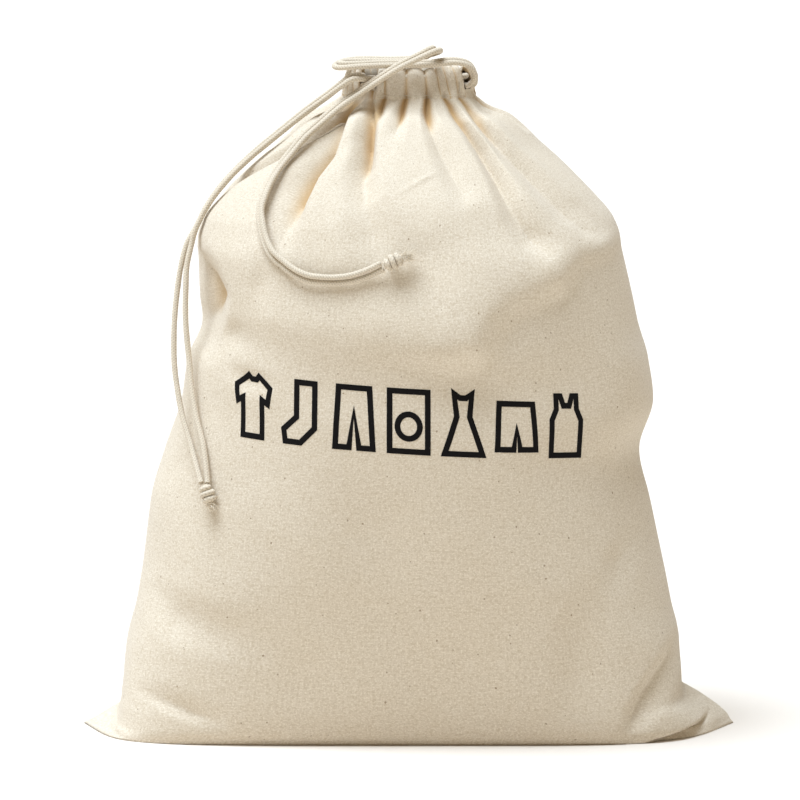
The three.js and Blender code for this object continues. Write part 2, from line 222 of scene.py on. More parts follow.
def monotone(xs, ys, x):
    """A smooth curve through the points (xs, ys) that never overshoots them."""
    step = np.diff(xs)
    rise = np.diff(ys) / step
    slope = np.zeros(len(xs))
    same = rise[1:] * rise[:-1] > 0
    safe = np.where(same, rise[1:] + rise[:-1], 1)
    slope[1:-1] = np.where(same, 2 * rise[1:] * rise[:-1] / safe, 0)
    slope[0], slope[-1] = rise[0], rise[-1]
    i = np.clip(np.searchsorted(xs, x) - 1, 0, len(step) - 1)
    t = np.clip((x - xs[i]) / step[i], 0, 1)
    return hermite(t, ys[i], ys[i + 1], slope[i] * step[i], slope[i + 1] * step[i])


def across_line(line):
    """Two directions across a line at each of its points, which don't twist along it."""
    along = unit(np.gradient(line, axis=0))
    first = np.cross(along[0], (0.0, 0.0, 1.0))
    if np.linalg.norm(first) < 0.1:
        first = np.cross(along[0], (0.0, 1.0, 0.0))
    across = [unit(first)]
    for direction in along[1:]:
        carried = across[-1] - direction * np.dot(across[-1], direction)
        across.append(unit(carried))
    return np.array(across), np.cross(along, across)


def rings(line, sides):
    """Unit steps outward all round a line, a ring of them at each of its points."""
    across, other = across_line(line)
    angle = (np.arange(sides) / sides * 2 * np.pi)[None, :, None]
    return np.cos(angle) * across[:, None] + np.sin(angle) * other[:, None]


# ---------------- meshes

TUBE_SIDES = 6


def mesh_object(name, vertices, faces, material, uv=None, smooth=True):
    mesh = bpy.data.meshes.new(name)
    mesh.from_pydata(np.asarray(vertices).tolist(), [], [[int(v) for v in face] for face in faces])
    if uv is not None:
        layer = mesh.uv_layers.new(name="cut")
        corner = np.zeros(len(mesh.loops), np.int32)
        mesh.loops.foreach_get("vertex_index", corner)
        layer.data.foreach_set("uv", np.asarray(uv, np.float32)[corner].ravel())
    mesh.materials.append(material)
    mesh.polygons.foreach_set("use_smooth", [smooth] * len(mesh.polygons))
    mesh.update()
    piece = bpy.data.objects.new(name, mesh)
    bpy.context.scene.collection.objects.link(piece)
    return piece


def grid_faces(rows, columns, closed=False):
    """Quads between a grid's points, row by row; closed joins the last column to the first."""
    across = columns if closed else columns - 1
    row, column = np.meshgrid(np.arange(rows - 1), np.arange(across), indexing="ij")
    here, right = row * columns + column, row * columns + (column + 1) % columns
    return np.stack([here, right, right + columns, here + columns], axis=-1).reshape(-1, 4)


def capped_faces(rows, around):
    """The faces of a tube given ring by ring, with one flat face at each end."""
    first = list(range(around))
    last = [(rows - 1) * around + i for i in first]
    return [*grid_faces(rows, around, closed=True).tolist(), first[::-1], last]


def tube(name, line, radius, material):
    """A thin closed tube along a line."""
    vertices = line[:, None] + rings(line, TUBE_SIDES) * radius
    return mesh_object(name, vertices.reshape(-1, 3), capped_faces(len(line), TUBE_SIDES), material)


def add_painted_shade(piece, values):
    """Stores how deep in a fold or groove each vertex lies, for the materials to paint as shade."""
    layer = piece.data.attributes.new("fold", "FLOAT", "POINT")
    layer.data.foreach_set("value", np.asarray(values, np.float32).ravel())


def hold(piece, side):
    """The front stays with the bag. The back keeps its place, with its transform baked into its mesh."""
    if side == "front":
        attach(piece, "bag")
    else:
        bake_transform(piece)


def put(piece, node, side="front"):
    """Puts a piece in the place of a node, and holds it at the front or the back."""
    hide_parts(node)
    hold(piece, side)


# ---------------- materials

CALICO = (0.670, 0.575, 0.440, 1)
CALICO_LOW = (0.605, 0.515, 0.395, 1)
CALICO_HIGH = (0.720, 0.635, 0.512, 1)
CALICO_SHADE = (0.560, 0.465, 0.335, 1)
# painted warm shade in folds and hollows
CALICO_FOLD_SHADE = (0.570, 0.385, 0.185, 1)
FLECK = (0.200, 0.115, 0.050, 1)
SLUB = (0.800, 0.725, 0.605, 1)
CORD_COLOUR = (0.690, 0.600, 0.465, 1)
CORD_LOW = (0.640, 0.545, 0.415, 1)
CORD_HIGH = (0.790, 0.700, 0.565, 1)
# painted shade in the braid's grooves
CORD_GROOVE_SHADE = (0.430, 0.360, 0.265, 1)
FIBRE_LOW = (0.740, 0.650, 0.510, 1)
FIBRE_HIGH = (0.860, 0.780, 0.650, 1)
INK = (0.006, 0.005, 0.005, 1)
INK_THIN = (0.020, 0.018, 0.016, 1)
THREAD_LOW = (0.660, 0.580, 0.450, 1)
THREAD_HIGH = (0.760, 0.690, 0.570, 1)
FLOOR_LOW = (0.790, 0.720, 0.640, 1)
FLOOR_HIGH = (0.805, 0.735, 0.655, 1)


class Nodes:
    """A short way to write a material's node tree."""

    def __init__(self, name):
        self.material = bpy.data.materials.new(name)
        self.material.use_nodes = True
        self.tree = self.material.node_tree
        self.shader = self.tree.nodes["Principled BSDF"]

    def add(self, kind, settings=None, **inputs):
        node = self.tree.nodes.new("ShaderNode" + kind)
        for key, value in (settings or {}).items():
            setattr(node, key, value)
        for key, value in inputs.items():
            self.set(node, key.replace("_", " "), value)
        return node

    def set(self, node, key, value):
        socket = node.inputs[key]
        if isinstance(value, bpy.types.NodeSocket):
            self.tree.links.new(value, socket)
        else:
            socket.default_value = value

    def cut(self):
        """Places on the flat cloth or along the cord, in metres."""
        return self.add("UVMap", {"uv_map": "cut"}).outputs[0]

    def place(self):
        return self.add("TexCoord").outputs["Object"]

    def fold(self):
        # The mesh's fold values, from which the materials paint shade.
        return self.add("Attribute", {"attribute_name": "fold"}).outputs["Fac"]

    def math(self, operation, a, b):
        node = self.add("Math", {"operation": operation})
        self.set(node, 0, a)
        self.set(node, 1, b)
        return node.outputs[0]

    def mix(self, factor, a, b):
        node = self.add("Mix", {"data_type": "RGBA"})
        for key, value in ((0, factor), (6, a), (7, b)):
            self.set(node, key, value)
        return node.outputs[2]

    def scaled(self, vector, u, v):
        return self.add("Mapping", Vector=vector, Scale=(u, v, 1)).outputs[0]

    def noise(self, vector, scale, detail, roughness=0.5):
        """Noise of one scale, or of a pair of scales across and along."""
        if isinstance(scale, tuple):
            vector, scale = self.scaled(vector, *scale), 1.0
        node = self.add("TexNoise", Vector=vector, Scale=scale, Detail=detail, Roughness=roughness)
        return node.outputs[0]

    def bands(self, vector, direction):
        node = self.add("TexWave", {"bands_direction": direction}, Vector=vector, Scale=1.0)
        return node.outputs["Fac"]

    def ramp(self, value, low, high, most=1.0):
        """0 up to the low value, and from there smoothly up to most at the high one."""
        smooth = {"interpolation_type": "SMOOTHSTEP"}
        node = self.add("MapRange", smooth, Value=value, From_Min=low, From_Max=high, To_Max=most)
        return node.outputs[0]

    def bump(self, height, strength, distance, **normal):
        return self.add("Bump", Height=height, Strength=strength, Distance=distance, **normal).outputs[0]

    def finished(self, colour, roughness, sheen=0.0, specular=0.5, **normal):
        """Sets the shader and gives its material."""
        settings = {"Base Color": colour, "Roughness": roughness, "Sheen Weight": sheen}
        for key, value in {**settings, "Specular IOR Level": specular, **normal}.items():
            self.set(self.shader, key, value)
        return self.material


def flecks(n, cut):
    """Rare small spots of seed husk, as a share of their colour."""
    spots = n.add("TexVoronoi", Vector=n.scaled(cut, 150, 130), Scale=1.0)
    chosen = n.add("SeparateColor", Color=spots.outputs["Color"]).outputs[0]
    rare = n.math("GREATER_THAN", chosen, 0.62)
    reach = n.math("MULTIPLY", n.math("SUBTRACT", chosen, 0.54), 0.30)
    small = n.math("LESS_THAN", spots.outputs["Distance"], reach)
    return n.math("MULTIPLY", n.math("MULTIPLY", small, rare), 0.62)


def calico():
    """Undyed plain weave: yarns, slubs, brown seed flecks, and painted warm shade deep in the folds and
    towards the neck.
    """
    n = Nodes("calico")
    cut = n.cut()
    warp = n.math("MULTIPLY", n.noise(cut, (900, 60), 3, 0.6), 0.5)
    weft = n.math("MULTIPLY", n.noise(cut, (55, 820), 3, 0.6), 0.5)
    yarns = n.math("MULTIPLY", n.math("ADD", warp, weft), 0.6)
    tone = n.math("ADD", yarns, n.math("MULTIPLY", n.noise(cut, 520, 3, 0.6), 0.4))
    base = n.mix(n.ramp(tone, 0.38, 0.62), CALICO_LOW, CALICO_HIGH)
    base = n.mix(n.ramp(n.noise(cut, 26, 3, 0.55), 0.35, 0.70, 0.30), base, CALICO)
    base = n.mix(n.ramp(n.noise(cut, (330, 390), 3, 0.7), 0.50, 0.62, 0.75), base, CALICO_SHADE)
    base = n.mix(n.ramp(n.noise(cut, (620, 700), 1), 0.56, 0.64, 0.70), base, SLUB)
    base = n.mix(n.ramp(n.noise(cut, (60, 1100), 1), 0.66, 0.74, 0.50), base, SLUB)
    # Painted shade: a warm darker colour deep in the folds, in the casings' valleys and towards the
    # neck.
    base = n.mix(n.ramp(n.fold(), 0.40, 1.1), base, CALICO_FOLD_SHADE)
    base = n.mix(flecks(n, cut), base, FLECK)
    across = n.scaled(cut, 200, 200)
    weave = n.math("MULTIPLY", n.bands(across, "X"), n.bands(across, "Y"))
    normal = n.bump(n.math("ADD", n.math("MULTIPLY", weave, 0.3), tone), 0.35, 0.0004)
    normal = n.bump(n.noise(cut, 38, 4, 0.55), 0.30, 0.0022, Normal=normal)
    return n.finished(base, 0.93, sheen=0.12, specular=0.2, Normal=normal)


def cord_material():
    """Braided cotton: fine fibres along the yarns, with painted shade in the grooves between them."""
    n = Nodes("cotton_cord")
    cut = n.cut()
    fibres = n.noise(cut, (2200, 500), 3, 0.6)
    tone = n.mix(n.ramp(fibres, 0.3, 0.7), CORD_LOW, CORD_HIGH)
    tone = n.mix(n.ramp(n.noise(cut, 130, 2), 0.45, 0.8, 0.25), tone, CORD_COLOUR)
    # Painted shade: darker in the grooves between the yarns.
    tone = n.mix(n.math("MULTIPLY", n.fold(), 0.85), tone, CORD_GROOVE_SHADE)
    return n.finished(tone, 0.9, sheen=0.15, specular=0.2, Normal=n.bump(fibres, 0.6, 0.0004))


def fibre_material():
    """The loose fibres of a cut cord end."""
    n = Nodes("cotton_fibre")
    tone = n.ramp(n.noise(n.place(), 700, 2), 0.3, 0.7)
    return n.finished(n.mix(tone, FIBRE_LOW, FIBRE_HIGH), 0.9, sheen=0.2)


def thread_material():
    n = Nodes("sewing_thread")
    ply = n.noise(n.place(), 1500, 2)
    colour = n.mix(ply, THREAD_LOW, THREAD_HIGH)
    return n.finished(colour, 0.75, sheen=0.1, Normal=n.bump(ply, 0.5, 0.0003))


def ink_material():
    """Screen ink that has sunk into the weave."""
    n = Nodes("print_ink")
    yarns = n.noise(n.cut(), (900, 820), 3, 0.6)
    colour = n.mix(n.ramp(yarns, 0.55, 0.85), INK, INK_THIN)
    return n.finished(colour, 0.85, specular=0.12, Normal=n.bump(yarns, 0.4, 0.0004))


def floor_material():
    n = Nodes("floor")
    return n.finished(n.mix(n.noise(n.place(), 3, 2, 0.4), FLOOR_LOW, FLOOR_HIGH), 0.9, specular=0.1)


# ---------------- cords

BRAID_SIDES = 20
BRAID_STEP = 0.0008
BRAID_TURN = 0.0105  # length of cord in which one yarn goes once round
BRAID_YARNS = 4  # in each direction
BRAID_RELIEF = 0.00038
KNOT_RADIUS = 0.0047  # from the knot's middle to the middle of the cord, where it is fullest
KNOT_END = 0.0026
KNOT_HALF = 0.0068
KNOT_TURNS = 2.7
KNOT_LEAN = 0.0008
KNOT_POINTS = 170
KNOT_CORD = CORD * 0.48  # radius of the cord, pulled tight
KNOT_CORE = 0.0035
CORE_ENDS = (-0.0090, 0.0088)  # along the knot's axis from its middle
FIBRES = 150  # in each tuft
FIBRE_ROWS = 7
FIBRE_SIDES = 5
# Each knot's middle and its axis, and the length, spread and seed of its tuft.
KNOTS = {
    "left": ((-0.175, -0.112, 0.2205), (0.3, -0.3, -1), 0.006, 0.50, 3),
    "right": ((-0.013, -0.151, 0.430), (1, 0, 0.4), 0.011, 0.40, 8),
}


def beside_pair(points, side):
    """One cord of a pair, moved sideways from the pair's middle line so that both lie flat."""
    points = np.array(points, float)
    ahead = np.vstack([points[1:], points[-1:]])
    behind = np.vstack([points[:1], points[:-1]])
    sideways = unit(np.cross(ahead - behind, points - FACING))
    return points + side * PAIR * sideways


def neck_point(degrees, inset):
    """A point at an angle round the neck, moved in from its outline."""
    angle = np.radians(degrees)
    point = np.stack([NECK_X * np.cos(angle), NECK_Y * np.sin(angle)], axis=-1)
    return point - unit(point / NECK_SQUARES) * np.asarray(inset)[..., None]


def neck_lean(degrees, height):
    """How far the gathered neck leans in at a height, most at the middle of the front."""
    share = np.clip((height - CASING_FOOT) / (CASING_HEAD - CASING_FOOT), 0, 1)
    middle = np.clip(np.cos(np.radians(degrees - LEAN_MIDDLE)), 0, 1) ** 0.7
    left = smoothstep(LEFT_EXIT[1], LEFT_EXIT[1] + LEAN_FADE, degrees)
    right = smoothstep(-RIGHT_EXIT[0], -RIGHT_EXIT[0] + LEAN_FADE, -degrees)
    return share * (LEAN_LEAST + NECK_LEAN * middle * left * right)


def braid_points(line, radius):
    """The surface of a braided cord along a line: its points, and how deep each lies in a groove."""
    run = (np.arange(len(line)) * BRAID_STEP)[:, None]
    angle = BRAID_YARNS * np.arange(BRAID_SIDES)[None] / BRAID_SIDES * 2 * np.pi
    turn = BRAID_YARNS * run / BRAID_TURN * 2 * np.pi
    crown = np.maximum(np.cos(angle + turn), np.cos(angle - turn))
    slow = 1 + 0.035 * np.sin(run * 190) * np.cos(run * 67 + 1)
    reach = radius * slow + BRAID_RELIEF * (crown - 0.6)
    points = line[:, None] + rings(line, BRAID_SIDES) * reach[..., None]
    return points, np.clip((0.55 - crown) / 1.1, 0, 1)


def braid(name, line, material, radius=CORD / 2):
    """A braided cord along a line, closed at both ends."""
    line = resampled(line, BRAID_STEP)
    points, groove = braid_points(line, radius)
    rows = len(line)
    vertices = np.vstack([points.reshape(-1, 3), line[:1], line[-1:]])
    faces = grid_faces(rows, BRAID_SIDES, closed=True).tolist()
    last = (rows - 1) * BRAID_SIDES
    start, end = rows * BRAID_SIDES, rows * BRAID_SIDES + 1
    for i in range(BRAID_SIDES):
        after = (i + 1) % BRAID_SIDES
        faces += [(start, after, i), (end, last + i, last + after)]
    side = np.tile(np.abs(np.arange(BRAID_SIDES) / BRAID_SIDES - 0.5), rows) * 2 * np.pi * radius
    length = np.repeat(np.arange(rows) * BRAID_STEP, BRAID_SIDES)
    uv = np.vstack([np.stack([side, length], axis=1), [(0, 0), (0, length[-1])]])
    piece = mesh_object(name, vertices, faces, material, uv)
    # Painted shade in the braid's grooves, and full at the centres of the two end caps.
    add_painted_shade(piece, np.concatenate([groove.ravel(), [1, 1]]))
    return piece


def run_line(arc, level):
    """A cord inside a casing."""
    degrees = np.linspace(*arc, RUN_POINTS)
    flat = neck_point(degrees, RUN_INSET + neck_lean(degrees, level))
    return np.column_stack([flat, np.full(len(degrees), level)])


def make_runs(material):
    """The cords inside the casings. Each crosses the other cord's exit at the end of its front run."""
    front = {"left": (LEFT_EXIT[1], RIGHT_EXIT[1]), "right": (LEFT_EXIT[0], RIGHT_EXIT[0])}
    for cord, level in (("left", LEFT_LEVEL), ("right", RIGHT_LEVEL)):
        for side, arc in (("front", front[cord]), ("back", BACK_ARC)):
            piece = braid(f"{cord}_cord_{side}", run_line(arc, level), material)
            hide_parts(f"{cord}_cord_{side}_run")
            if (cord, side) == ("left", "front"):
                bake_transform(piece)
            else:
                hold(piece, side)


def tuft(name, centre, axis, material, length, spread, seed):
    """Thin tapered fibres that fan out of a cord's cut end."""
    rng = np.random.default_rng(seed)
    t = np.linspace(0, 1, FIBRE_ROWS)[:, None]
    vertices, faces = [], []
    for k in range(FIBRES):
        aim = unit(axis + rng.normal(0, spread, 3))
        curl = rng.normal(0, 0.35, 3)
        root = centre + rng.normal(0, 0.0013, 3)
        reach = length * rng.uniform(0.55, 1.1)
        thick = rng.uniform(0.00022, 0.00045)
        line = root + aim * reach * t + curl * reach * 0.5 * t**2
        taper = thick * (1 - 0.75 * t)[..., None]
        vertices.append((line[:, None] + rings(line, FIBRE_SIDES) * taper).reshape(-1, 3))
        base = k * FIBRE_ROWS * FIBRE_SIDES
        faces += [[base + v for v in face] for face in capped_faces(FIBRE_ROWS, FIBRE_SIDES)]
    return mesh_object(name, np.vstack(vertices), faces, material)


def knot(name, centre, axis, material):
    """Close turns of cord round the cords' ends, fuller in the middle and a little askew."""
    side = unit(np.cross(axis, (0.2, 1.0, 0.1)))
    other = np.cross(axis, side)
    t = np.linspace(0, 1, KNOT_POINTS)[:, None]
    angle = 2 * np.pi * KNOT_TURNS * t
    out = KNOT_END + (KNOT_RADIUS - KNOT_END) * np.sin(np.pi * t) ** 0.6
    along = KNOT_HALF * (2 * t - 1) + KNOT_LEAN * np.cos(angle)
    line = centre + out * np.cos(angle) * side + out * np.sin(angle) * other + along * axis
    return braid(name, line, material, KNOT_CORD)


def make_knot(side, material, fibre_material):
    """A pull's knot, with the cords' ends through it and their loose fibres."""
    centre, axis, length, spread, seed = KNOTS[side]
    axis = unit(np.array(axis, float))
    tied = knot(f"{side}_cord_knot", centre, axis, material)
    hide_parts(f"{side}_knot")
    ends = np.array(centre) + np.outer(CORE_ENDS, axis)
    core = braid(f"{side}_knot_core", ends, material, KNOT_CORE)
    loose = tuft(f"{side}_tuft", ends[1], axis, fibre_material, length, spread, seed)
    for piece in (tied, core, loose):
        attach(piece, f"{side}_pull")
    return [tied, core, loose]


def make_strand(side, strand, points, material):
    """One cord from where it leaves a casing to its knot."""
    line = centripetal(points, BRAID_STEP)
    piece = braid(f"{side}_{strand}_strand", line, material)
    nodes = [f"{side}_pull_{strand}_{part}" for part in ("upper", "lower")]
    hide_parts(*nodes)
    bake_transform(piece)
    return line


def make_pulls(material, fibre_material):
    """Both pairs of cords with their knots. Returns the strands' lines."""
    ends = {side: make_knot(side, material, fibre_material) for side in KNOTS}
    routes = {
        "left": (LEFT_LEADS, LEFT_PAIR, LEFT_HANGING),
        "right": (RIGHT_LEADS, RIGHT_PAIR, {"front": [], "rear": []}),
    }
    lines = []
    for side, (leads, pair, hanging) in routes.items():
        for strand, place in STRANDS.items():
            middle = [tuple(p) for p in beside_pair(pair, place)]
            points = [*leads[strand], *middle, *hanging[strand]]
            lines.append(make_strand(side, strand, points, material))
    return lines


# ---------------- the cloth's plain shape


def section(z):
    """The profile's outline at a height: points at even steps of cloth, from the left seam round."""
    left, right, depth, left_ear, right_ear, square = (
        float(monotone(PROFILE[:, 0], PROFILE[:, k], np.array(z))) for k in range(1, 7)
    )
    angle = np.radians(np.linspace(180, 540, 360 * STEPS_PER_DEGREE + 1))
    across = np.sign(np.cos(angle)) * np.abs(np.cos(angle)) ** (2 / square)
    along = np.sign(np.sin(angle)) * np.abs(np.sin(angle)) ** (2 / square)
    on_left = np.cos(angle) < 0
    ear = np.where(on_left, left_ear, right_ear)
    x = across * (np.where(on_left, left, right) + ear * (1 - np.abs(along)))
    y = along * depth
    turn = float(smoothstep(SEAM_TURNS_FROM, CASING_FOOT, np.array(z)))
    start = 180 + turn * (SEAM_AT_NECK["left"] - 180)
    middle = 360 + turn * (SEAM_AT_NECK["right"] - 360)
    return np.vstack([half_way(x, y, start, middle), half_way(x, y, middle, start + 360)[1:]])


def half_way(x, y, start, end):
    """Points at even steps along an outline of a full turn, between two angles."""
    degrees = np.linspace(start, end, HALF_STEPS + 1)
    place = (degrees - 180) % 360 * STEPS_PER_DEGREE
    line = np.column_stack([np.interp(place, np.arange(len(x)), v) for v in (x, y)])
    run = run_along(line)
    even = np.linspace(0, run[-1], PANEL_COLUMNS + 1)
    return np.column_stack([np.interp(even, run, line[:, k]) for k in range(2)])


def plain_cloth():
    """The wall of the bag without its folds, as rows of points from the floor to the casings' foot."""
    low = np.arange(0.0, 0.030, 0.0015)
    middle = np.arange(0.030, 0.480, 0.003)
    top = np.arange(0.480, CASING_FOOT, 0.0017)
    heights = [*low, *middle, *top, CASING_FOOT]
    walls = [np.column_stack([section(z), np.full(2 * PANEL_COLUMNS + 1, z)]) for z in heights]
    return np.array(walls) + (0, 0, FLOOR_GAP)


def at_exit(degrees, ends):
    """1 between a cord exit's two ends round the neck, and 0 from a little past them."""
    after_start = smoothstep(ends[0] - EXIT_FADE, ends[0] + 1, degrees)
    return after_start * smoothstep(-ends[1] - EXIT_FADE, 1 - ends[1], -degrees)


def exit_lip(top):
    """Rows above the wall's top: tucked into the casings, and raised under the cords' exits."""
    degrees = np.degrees(np.arctan2(top[:, 1] / NECK_Y, top[:, 0] / NECK_X))
    left, right = at_exit(degrees, LEFT_EXIT), at_exit(degrees, RIGHT_EXIT)
    rise = 0.0008 + 0.0125 * left + 0.0062 * right
    inset = 0.0012 + 0.0030 * left + 0.0008 * right
    inward = -unit(top[:, :2] / NECK_SQUARES)
    rows = []
    for share in np.linspace(0, 1, LIP_ROWS + 1)[1:]:
        row = top.copy()
        row[:, :2] += inward * (inset * min(1, share * 1.6))[:, None]
        row[:, 2] += rise * share
        rows.append(row)
    return np.array(rows)


def floor_cloth(foot):
    """The underside, from the bottom seam out to the wall's foot."""
    share = np.linspace(0, 1, FLOOR_ROWS, endpoint=False)[:, None]
    rows = np.repeat(foot[None], FLOOR_ROWS, axis=0)
    rows[..., 1] = foot[None, :, 1] * share
    return rows


def outward(points):
    """The outward normal at each point of a grid of rows."""
    return unit(np.cross(np.gradient(points, axis=1), np.gradient(points, axis=0)))


# ---------------- folds

# Folds of the front in millimetres, each as points (x, z, depth, half-width to the left, to the
# right) down its line. A sharp fold is a crease, a soft one a trough, and a negative depth a ridge.
SHARP, SOFT = 1.4, 2.6
FRONT_FOLDS = [
    (SHARP, [(-50, 557, 5, 6, 5), (-57, 546, 8, 10, 5), (-62, 532, 13, 15, 6),
        (-70, 516, 21, 18, 7), (-84, 500, 25, 19, 8), (-97, 480, 22, 22, 11),
        (-107, 458, 12, 28, 18), (-118, 432, 0, 34, 30)]),
    (SHARP, [(-34, 557, 7, 8, 5), (-32, 543, 13, 14, 7), (-34, 528, 22, 17, 7),
        (-36, 514, 21, 16, 9), (-40, 500, 12, 18, 14), (-40, 478, 9, 22, 24), (-32, 452, 7, 28, 32),
        (-18, 428, 0, 34, 36)]),
    (SHARP, [(-22, 557, 9, 6, 6), (-25, 549, 10, 8, 6), (-30, 538, 0, 7, 7)]),
    (SHARP, [(-2, 557, 10, 7, 5), (-5, 549, 12, 8, 6), (-10, 538, 6, 11, 9),
        (-14, 526, 0, 12, 12)]),
    (SHARP, [(17, 557, 12, 6, 6), (17, 548, 14, 8, 7), (21, 534, 7, 10, 12), (28, 519, 7, 12, 16),
        (37, 504, 7, 13, 18), (47, 487, 4, 16, 22), (54, 474, 0, 18, 24)]),
    (SHARP, [(33, 557, 8, 5, 4), (40, 549, 10, 8, 5), (53, 536, 12, 10, 5), (66, 519, 13, 12, 6),
        (80, 497, 13, 14, 7), (94, 470, 11, 17, 10), (107, 445, 9, 19, 14), (123, 424, 0, 22, 22)]),
    (SHARP, [(47, 557, 7, 6, 4), (60, 545, 10, 8, 5), (73, 532, 11, 10, 5), (86, 517, 9, 12, 6),
        (106, 499, 10, 14, 8), (133, 471, 8, 16, 12), (153, 449, 5, 18, 16),
        (169, 437, 0, 18, 18)]),
    (SOFT, [(56, 557, 1, 8, 8), (67, 549, 3, 10, 10), (78, 540, 0, 10, 10)]),
    (SOFT, [(-60, 366, 0, 30, 70), (-10, 362, -5, 30, 75), (30, 359, -11, 34, 80),
        (50, 362, -14, 34, 80), (62, 382, -13, 34, 75), (78, 398, -11, 34, 70),
        (100, 407, -10, 32, 60), (124, 414, -11, 28, 50), (144, 432, -6, 22, 36),
        (170, 434, -5, 20, 30), (184, 446, 0, 18, 30)]),
    (SHARP, [(-189, 424, 4, 16, 16), (-182, 406, 14, 18, 20), (-176, 390, 19, 20, 22),
        (-178, 374, 15, 20, 22), (-184, 357, 6, 18, 22), (-192, 340, 0, 18, 24)]),
    (SOFT, [(-158, 372, 0, 12, 14), (-152, 360, 3, 14, 16), (-146, 345, 0, 16, 18)]),
    (SOFT, [(-165, 332, 0, 14, 14), (-140, 322, 4, 16, 14), (-112, 316, 0, 16, 16)]),
    (SHARP, [(-240, 47, 0, 10, 12), (-214, 37, 4, 10, 18), (-190, 28, 5, 10, 19),
        (-160, 20, 0, 10, 18)]),
    (SHARP, [(-276, 9.5, 0, 2, 2), (-266, 7, 4, 3, 3), (-256, 4.5, 4, 3, 3), (-249, 3, 0, 2, 2)]),
    (SHARP, [(206, 0, 0, 8, 2), (226, 2.5, 9, 10, 3), (246, 7, 12, 12, 3), (258, 11.5, 8, 12, 3),
        (268, 17, 0, 8, 3)]),
    (SOFT, [(-150, 366, 0, 40, 40), (-100, 371, -4, 40, 40), (-30, 374, -5, 40, 40),
        (40, 374, 0, 40, 40)]),
    (SOFT, [(-130, 322, 0, 36, 36), (-50, 318, 3, 40, 36), (80, 314, 7, 50, 40),
        (180, 326, 0, 36, 36)]),
    (SOFT, [(-230, 135, 0, 20, 20), (-200, 110, 5, 30, 30), (-160, 100, 4, 30, 30),
        (-110, 95, 0, 30, 30)]),
    (SHARP, [(238, 90, 0, 12, 14), (228, 70, 6, 13, 18), (211, 46, 10, 14, 22),
        (199, 26, 8, 14, 22), (193, 10, 3, 12, 18), (190, 0, 0, 12, 16)]),
    (SOFT, [(165, 150, 0, 20, 30), (150, 105, 4, 30, 40), (146, 60, 4, 30, 40),
        (150, 20, 0, 30, 40)]),
    (SOFT, [(205, 190, 0, 20, 20), (185, 160, 4, 20, 20), (178, 125, 0, 20, 20)]),
    (SHARP, [(-11, 484, 0, 3, 3), (0, 490, -1.2, 3, 3), (16, 498, -1.2, 3, 3), (29, 503, 0, 3, 3)]),
    (SHARP, [(59, 504, 0, 2, 2), (68, 503.5, 1, 2, 2), (77, 502, 0, 2, 2)]),
    (SOFT, [(-104, 456, 0, 12, 12), (-121, 434, 4, 14, 14), (-128, 402, 3, 14, 16),
        (-126, 375, 0, 14, 16)]),
    (SOFT, [(-60, 300, 0, 50, 50), (-20, 200, 4, 60, 60), (20, 100, 0, 50, 50)]),
]
BACK_TUCKS = 19  # round the back of the neck
BACK_FOLDS_SEED = 11
TUCK_REACH = (0.030, 0.125, 0.045, 0.080, 0.022)  # down from the neck, for each of five kinds
TUCK_DEPTH = (0.008, 0.013, 0.008, 0.011, 0.006)
WAVES = 14
WAVES_SEED = 5
WAVE_HEIGHT = 0.0011
NECK_FADE = 0.525  # the height from which folds press more and more level
CORD_CLEARANCE = 0.0007
PRESS_RANGE = 0.022  # how near a cord has to be to press the cloth
PRESS_SPREAD = 11
DEEP_FOLD = 0.020  # a fold depth that takes the whole painted shade


def fold_depth(along, up, sharp, route):
    """How deep one fold presses each point in, with the points given as two places on the cloth."""
    route = np.array(route) * MM
    best = np.full(along.shape, np.inf)
    depth = np.zeros(along.shape)
    for a, b in zip(route[:-1], route[1:]):
        step = b[:2] - a[:2]
        size = np.dot(step, step)
        t = np.clip(((along - a[0]) * step[0] + (up - a[1]) * step[1]) / size, 0, 1)
        off_x = along - a[0] - t * step[0]
        off_z = up - a[1] - t * step[1]
        far = np.hypot(off_x, off_z)
        on_left = off_x * -step[1] + off_z * step[0] < 0
        width = np.where(on_left, a[3] + t * (b[3] - a[3]), a[4] + t * (b[4] - a[4]))
        reach = np.clip(1 - far / width, 0, 1)
        shape = reach**sharp if sharp == SHARP else reach * reach * (3 - 2 * reach)
        closer = far < best
        best = np.where(closer, far, best)
        depth = np.where(closer, shape * (a[2] + t * (b[2] - a[2])), depth)
    return depth


def gathered(depths):
    """Folds that cross don't add up: the deeper one wins, softly."""
    inward = sum(np.maximum(d, 0) ** 3 for d in depths) ** (1 / 3)
    return inward + sum(np.minimum(d, 0) for d in depths)


def back_folds(points, share):
    """Tucks at the back and sides of the neck, of which some run on down as long folds."""
    rng = np.random.default_rng(BACK_FOLDS_SEED)
    span = np.linalg.norm(np.diff(points, axis=1), axis=2).mean(axis=1) * 2 * PANEL_COLUMNS
    uneven = rng.uniform(-0.22, 0.22, BACK_TUCKS)
    places = 0.5 + (np.arange(BACK_TUCKS) + 0.5 + uneven) / BACK_TUCKS / 2
    depths = []
    for k, place in enumerate(places):
        kind = (k * 7) % len(TUCK_REACH)  # so that neighbours differ
        reach = TUCK_REACH[kind] * rng.uniform(0.85, 1.2)
        drift = rng.uniform(-0.004, 0.004)
        down = np.clip((CASING_FOOT - points[..., 2]) / reach, 0, 1)
        far = np.abs(share[None] - place - drift * down) * span[:, None]
        width = 0.006 + 0.018 * down * reach / 0.12
        shape = np.clip(1 - (far / width) ** 1.6, 0, 1) ** 1.8
        envelope = np.minimum(0.30 + 2.4 * down, 1) * (1 - down) ** 0.7
        depths.append(TUCK_DEPTH[kind] * envelope * shape)
    return gathered(depths)


